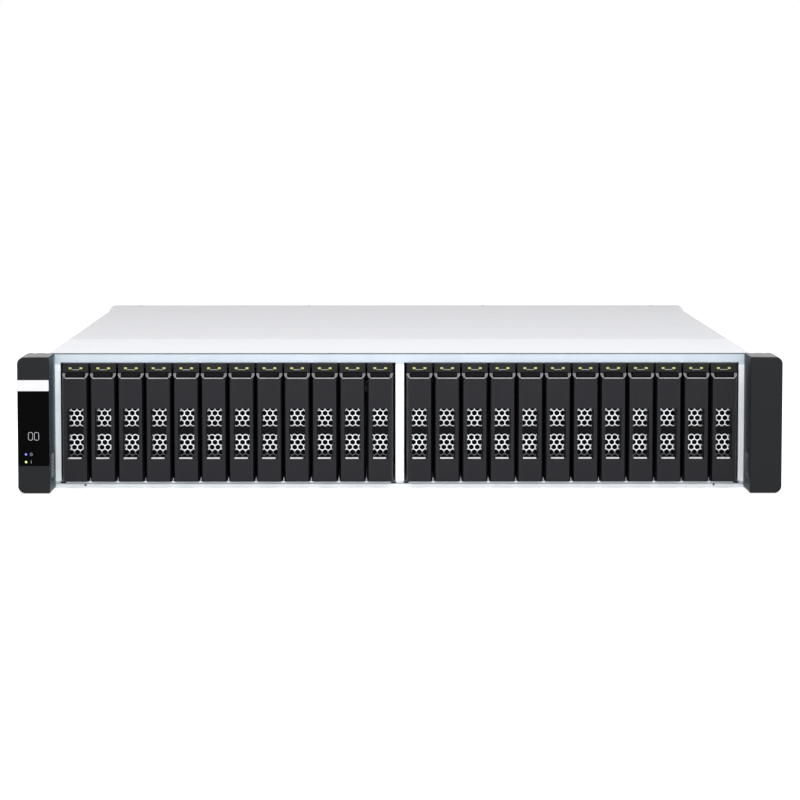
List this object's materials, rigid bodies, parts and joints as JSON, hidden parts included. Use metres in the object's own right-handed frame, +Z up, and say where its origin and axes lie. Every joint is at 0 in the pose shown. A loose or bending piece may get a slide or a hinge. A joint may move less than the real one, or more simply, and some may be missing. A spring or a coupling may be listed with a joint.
{
  "type": "rack storage server",
  "caption": "Two-unit rack storage server with hot-swap drive trays on pull levers, plastic ear covers with a small display, and slide-out rear controllers and power modules.",
  "frame": {"origin": "centre of the underside of the whole unit, ear covers and rear handles counted", "axes": "+Z up, front towards -Y, +X to the right when looking at the front"},
  "size_m": [0.4826, 0.5882, 0.087],
  "materials": {
    "zinc_steel": "satin",
    "pale_cover": "satin",
    "ear_plastic": "matt",
    "tray_plastic": "matt",
    "lever_plastic": "satin",
    "circuit_board": "gloss",
    "module_steel": "satin"
  },
  "bodies": {
    "root": {"chassis_tub": "zinc_steel", "top_cover": "pale_cover", "drive_cage": "zinc_steel", "backplane": "circuit_board", "ear_cover_left": "ear_plastic", "ear_cover_right": "ear_plastic"},
    "latch_left": {"ear_latch_left": "ear_plastic"},
    "latch_right": {"ear_latch_right": "ear_plastic"},
    "controller_upper_body": {"controller_upper": "module_steel"},
    "controller_lower_body": {"controller_lower": "module_steel"},
    "power_left_body": {"power_module_left": "module_steel"},
    "power_right_body": {"power_module_right": "module_steel"},
    "tray_01_body": {"drive_tray_01": "tray_plastic"},
    "lever_01_body": {"tray_lever_01": "lever_plastic"},
    "tray_02_body": {"drive_tray_02": "tray_plastic"},
    "lever_02_body": {"tray_lever_02": "lever_plastic"},
    "tray_03_body": {"drive_tray_03": "tray_plastic"},
    "lever_03_body": {"tray_lever_03": "lever_plastic"},
    "tray_04_body": {"drive_tray_04": "tray_plastic"},
    "lever_04_body": {"tray_lever_04": "lever_plastic"},
    "tray_05_body": {"drive_tray_05": "tray_plastic"},
    "lever_05_body": {"tray_lever_05": "lever_plastic"},
    "tray_06_body": {"drive_tray_06": "tray_plastic"},
    "lever_06_body": {"tray_lever_06": "lever_plastic"},
    "tray_07_body": {"drive_tray_07": "tray_plastic"},
    "lever_07_body": {"tray_lever_07": "lever_plastic"},
    "tray_08_body": {"drive_tray_08": "tray_plastic"},
    "lever_08_body": {"tray_lever_08": "lever_plastic"},
    "tray_09_body": {"drive_tray_09": "tray_plastic"},
    "lever_09_body": {"tray_lever_09": "lever_plastic"},
    "tray_10_body": {"drive_tray_10": "tray_plastic"},
    "lever_10_body": {"tray_lever_10": "lever_plastic"},
    "tray_11_body": {"drive_tray_11": "tray_plastic"},
    "lever_11_body": {"tray_lever_11": "lever_plastic"},
    "tray_12_body": {"drive_tray_12": "tray_plastic"},
    "lever_12_body": {"tray_lever_12": "lever_plastic"},
    "tray_13_body": {"drive_tray_13": "tray_plastic"},
    "lever_13_body": {"tray_lever_13": "lever_plastic"},
    "tray_14_body": {"drive_tray_14": "tray_plastic"},
    "lever_14_body": {"tray_lever_14": "lever_plastic"},
    "tray_15_body": {"drive_tray_15": "tray_plastic"},
    "lever_15_body": {"tray_lever_15": "lever_plastic"},
    "tray_16_body": {"drive_tray_16": "tray_plastic"},
    "lever_16_body": {"tray_lever_16": "lever_plastic"},
    "tray_17_body": {"drive_tray_17": "tray_plastic"},
    "lever_17_body": {"tray_lever_17": "lever_plastic"},
    "tray_18_body": {"drive_tray_18": "tray_plastic"},
    "lever_18_body": {"tray_lever_18": "lever_plastic"},
    "tray_19_body": {"drive_tray_19": "tray_plastic"},
    "lever_19_body": {"tray_lever_19": "lever_plastic"},
    "tray_20_body": {"drive_tray_20": "tray_plastic"},
    "lever_20_body": {"tray_lever_20": "lever_plastic"},
    "tray_21_body": {"drive_tray_21": "tray_plastic"},
    "lever_21_body": {"tray_lever_21": "lever_plastic"},
    "tray_22_body": {"drive_tray_22": "tray_plastic"},
    "lever_22_body": {"tray_lever_22": "lever_plastic"},
    "tray_23_body": {"drive_tray_23": "tray_plastic"},
    "lever_23_body": {"tray_lever_23": "lever_plastic"},
    "tray_24_body": {"drive_tray_24": "tray_plastic"},
    "lever_24_body": {"tray_lever_24": "lever_plastic"}
  },
  "joints": [
    {"name": "latch_press_left", "type": "slide", "parent": "root", "child": "latch_left", "axis": [-1, 0, 0], "range_m": [0, 0.003], "stiffness_N_per_m": 900},
    {"name": "latch_press_right", "type": "slide", "parent": "root", "child": "latch_right", "axis": [1, 0, 0], "range_m": [0, 0.003], "stiffness_N_per_m": 900},
    {"name": "controller_slide_upper", "type": "slide", "parent": "root", "child": "controller_upper_body", "axis": [0, 1, 0], "range_m": [0, 0.34]},
    {"name": "controller_slide_lower", "type": "slide", "parent": "root", "child": "controller_lower_body", "axis": [0, 1, 0], "range_m": [0, 0.34]},
    {"name": "power_slide_left", "type": "slide", "parent": "root", "child": "power_left_body", "axis": [0, 1, 0], "range_m": [0, 0.28]},
    {"name": "power_slide_right", "type": "slide", "parent": "root", "child": "power_right_body", "axis": [0, 1, 0], "range_m": [0, 0.28]},
    {"name": "tray_slide_01", "type": "slide", "parent": "root", "child": "tray_01_body", "axis": [0, -1, 0], "range_m": [0, 0.11]},
    {"name": "lever_hinge_01", "type": "hinge", "parent": "tray_01_body", "child": "lever_01_body", "pos_m": [-0.20763, -0.26125, 0.009], "axis": [1, 0, 0], "range_deg": [0, 45]},
    {"name": "tray_slide_02", "type": "slide", "parent": "root", "child": "tray_02_body", "axis": [0, -1, 0], "range_m": [0, 0.11]},
    {"name": "lever_hinge_02", "type": "hinge", "parent": "tray_02_body", "child": "lever_02_body", "pos_m": [-0.1899, -0.26125, 0.009], "axis": [1, 0, 0], "range_deg": [0, 45]},
    {"name": "tray_slide_03", "type": "slide", "parent": "root", "child": "tray_03_body", "axis": [0, -1, 0], "range_m": [0, 0.11]},
    {"name": "lever_hinge_03", "type": "hinge", "parent": "tray_03_body", "child": "lever_03_body", "pos_m": [-0.17217, -0.26125, 0.009], "axis": [1, 0, 0], "range_deg": [0, 45]},
    {"name": "tray_slide_04", "type": "slide", "parent": "root", "child": "tray_04_body", "axis": [0, -1, 0], "range_m": [0, 0.11]},
    {"name": "lever_hinge_04", "type": "hinge", "parent": "tray_04_body", "child": "lever_04_body", "pos_m": [-0.15444, -0.26125, 0.009], "axis": [1, 0, 0], "range_deg": [0, 45]},
    {"name": "tray_slide_05", "type": "slide", "parent": "root", "child": "tray_05_body", "axis": [0, -1, 0], "range_m": [0, 0.11]},
    {"name": "lever_hinge_05", "type": "hinge", "parent": "tray_05_body", "child": "lever_05_body", "pos_m": [-0.13671, -0.26125, 0.009], "axis": [1, 0, 0], "range_deg": [0, 45]},
    {"name": "tray_slide_06", "type": "slide", "parent": "root", "child": "tray_06_body", "axis": [0, -1, 0], "range_m": [0, 0.11]},
    {"name": "lever_hinge_06", "type": "hinge", "parent": "tray_06_body", "child": "lever_06_body", "pos_m": [-0.11898, -0.26125, 0.009], "axis": [1, 0, 0], "range_deg": [0, 45]},
    {"name": "tray_slide_07", "type": "slide", "parent": "root", "child": "tray_07_body", "axis": [0, -1, 0], "range_m": [0, 0.11]},
    {"name": "lever_hinge_07", "type": "hinge", "parent": "tray_07_body", "child": "lever_07_body", "pos_m": [-0.10125, -0.26125, 0.009], "axis": [1, 0, 0], "range_deg": [0, 45]},
    {"name": "tray_slide_08", "type": "slide", "parent": "root", "child": "tray_08_body", "axis": [0, -1, 0], "range_m": [0, 0.11]},
    {"name": "lever_hinge_08", "type": "hinge", "parent": "tray_08_body", "child": "lever_08_body", "pos_m": [-0.08352, -0.26125, 0.009], "axis": [1, 0, 0], "range_deg": [0, 45]},
    {"name": "tray_slide_09", "type": "slide", "parent": "root", "child": "tray_09_body", "axis": [0, -1, 0], "range_m": [0, 0.11]},
    {"name": "lever_hinge_09", "type": "hinge", "parent": "tray_09_body", "child": "lever_09_body", "pos_m": [-0.06579, -0.26125, 0.009], "axis": [1, 0, 0], "range_deg": [0, 45]},
    {"name": "tray_slide_10", "type": "slide", "parent": "root", "child": "tray_10_body", "axis": [0, -1, 0], "range_m": [0, 0.11]},
    {"name": "lever_hinge_10", "type": "hinge", "parent": "tray_10_body", "child": "lever_10_body", "pos_m": [-0.04806, -0.26125, 0.009], "axis": [1, 0, 0], "range_deg": [0, 45]},
    {"name": "tray_slide_11", "type": "slide", "parent": "root", "child": "tray_11_body", "axis": [0, -1, 0], "range_m": [0, 0.11]},
    {"name": "lever_hinge_11", "type": "hinge", "parent": "tray_11_body", "child": "lever_11_body", "pos_m": [-0.03033, -0.26125, 0.009], "axis": [1, 0, 0], "range_deg": [0, 45]},
    {"name": "tray_slide_12", "type": "slide", "parent": "root", "child": "tray_12_body", "axis": [0, -1, 0], "range_m": [0, 0.11]},
    {"name": "lever_hinge_12", "type": "hinge", "parent": "tray_12_body", "child": "lever_12_body", "pos_m": [-0.0126, -0.26125, 0.009], "axis": [1, 0, 0], "range_deg": [0, 45]},
    {"name": "tray_slide_13", "type": "slide", "parent": "root", "child": "tray_13_body", "axis": [0, -1, 0], "range_m": [0, 0.11]},
    {"name": "lever_hinge_13", "type": "hinge", "parent": "tray_13_body", "child": "lever_13_body", "pos_m": [0.0126, -0.26125, 0.009], "axis": [1, 0, 0], "range_deg": [0, 45]},
    {"name": "tray_slide_14", "type": "slide", "parent": "root", "child": "tray_14_body", "axis": [0, -1, 0], "range_m": [0, 0.11]},
    {"name": "lever_hinge_14", "type": "hinge", "parent": "tray_14_body", "child": "lever_14_body", "pos_m": [0.03033, -0.26125, 0.009], "axis": [1, 0, 0], "range_deg": [0, 45]},
    {"name": "tray_slide_15", "type": "slide", "parent": "root", "child": "tray_15_body", "axis": [0, -1, 0], "range_m": [0, 0.11]},
    {"name": "lever_hinge_15", "type": "hinge", "parent": "tray_15_body", "child": "lever_15_body", "pos_m": [0.04806, -0.26125, 0.009], "axis": [1, 0, 0], "range_deg": [0, 45]},
    {"name": "tray_slide_16", "type": "slide", "parent": "root", "child": "tray_16_body", "axis": [0, -1, 0], "range_m": [0, 0.11]},
    {"name": "lever_hinge_16", "type": "hinge", "parent": "tray_16_body", "child": "lever_16_body", "pos_m": [0.06579, -0.26125, 0.009], "axis": [1, 0, 0], "range_deg": [0, 45]},
    {"name": "tray_slide_17", "type": "slide", "parent": "root", "child": "tray_17_body", "axis": [0, -1, 0], "range_m": [0, 0.11]},
    {"name": "lever_hinge_17", "type": "hinge", "parent": "tray_17_body", "child": "lever_17_body", "pos_m": [0.08352, -0.26125, 0.009], "axis": [1, 0, 0], "range_deg": [0, 45]},
    {"name": "tray_slide_18", "type": "slide", "parent": "root", "child": "tray_18_body", "axis": [0, -1, 0], "range_m": [0, 0.11]},
    {"name": "lever_hinge_18", "type": "hinge", "parent": "tray_18_body", "child": "lever_18_body", "pos_m": [0.10125, -0.26125, 0.009], "axis": [1, 0, 0], "range_deg": [0, 45]},
    {"name": "tray_slide_19", "type": "slide", "parent": "root", "child": "tray_19_body", "axis": [0, -1, 0], "range_m": [0, 0.11]},
    {"name": "lever_hinge_19", "type": "hinge", "parent": "tray_19_body", "child": "lever_19_body", "pos_m": [0.11898, -0.26125, 0.009], "axis": [1, 0, 0], "range_deg": [0, 45]},
    {"name": "tray_slide_20", "type": "slide", "parent": "root", "child": "tray_20_body", "axis": [0, -1, 0], "range_m": [0, 0.11]},
    {"name": "lever_hinge_20", "type": "hinge", "parent": "tray_20_body", "child": "lever_20_body", "pos_m": [0.13671, -0.26125, 0.009], "axis": [1, 0, 0], "range_deg": [0, 45]},
    {"name": "tray_slide_21", "type": "slide", "parent": "root", "child": "tray_21_body", "axis": [0, -1, 0], "range_m": [0, 0.11]},
    {"name": "lever_hinge_21", "type": "hinge", "parent": "tray_21_body", "child": "lever_21_body", "pos_m": [0.15444, -0.26125, 0.009], "axis": [1, 0, 0], "range_deg": [0, 45]},
    {"name": "tray_slide_22", "type": "slide", "parent": "root", "child": "tray_22_body", "axis": [0, -1, 0], "range_m": [0, 0.11]},
    {"name": "lever_hinge_22", "type": "hinge", "parent": "tray_22_body", "child": "lever_22_body", "pos_m": [0.17217, -0.26125, 0.009], "axis": [1, 0, 0], "range_deg": [0, 45]},
    {"name": "tray_slide_23", "type": "slide", "parent": "root", "child": "tray_23_body", "axis": [0, -1, 0], "range_m": [0, 0.11]},
    {"name": "lever_hinge_23", "type": "hinge", "parent": "tray_23_body", "child": "lever_23_body", "pos_m": [0.1899, -0.26125, 0.009], "axis": [1, 0, 0], "range_deg": [0, 45]},
    {"name": "tray_slide_24", "type": "slide", "parent": "root", "child": "tray_24_body", "axis": [0, -1, 0], "range_m": [0, 0.11]},
    {"name": "lever_hinge_24", "type": "hinge", "parent": "tray_24_body", "child": "lever_24_body", "pos_m": [0.20763, -0.26125, 0.009], "axis": [1, 0, 0], "range_deg": [0, 45]}
  ]
}
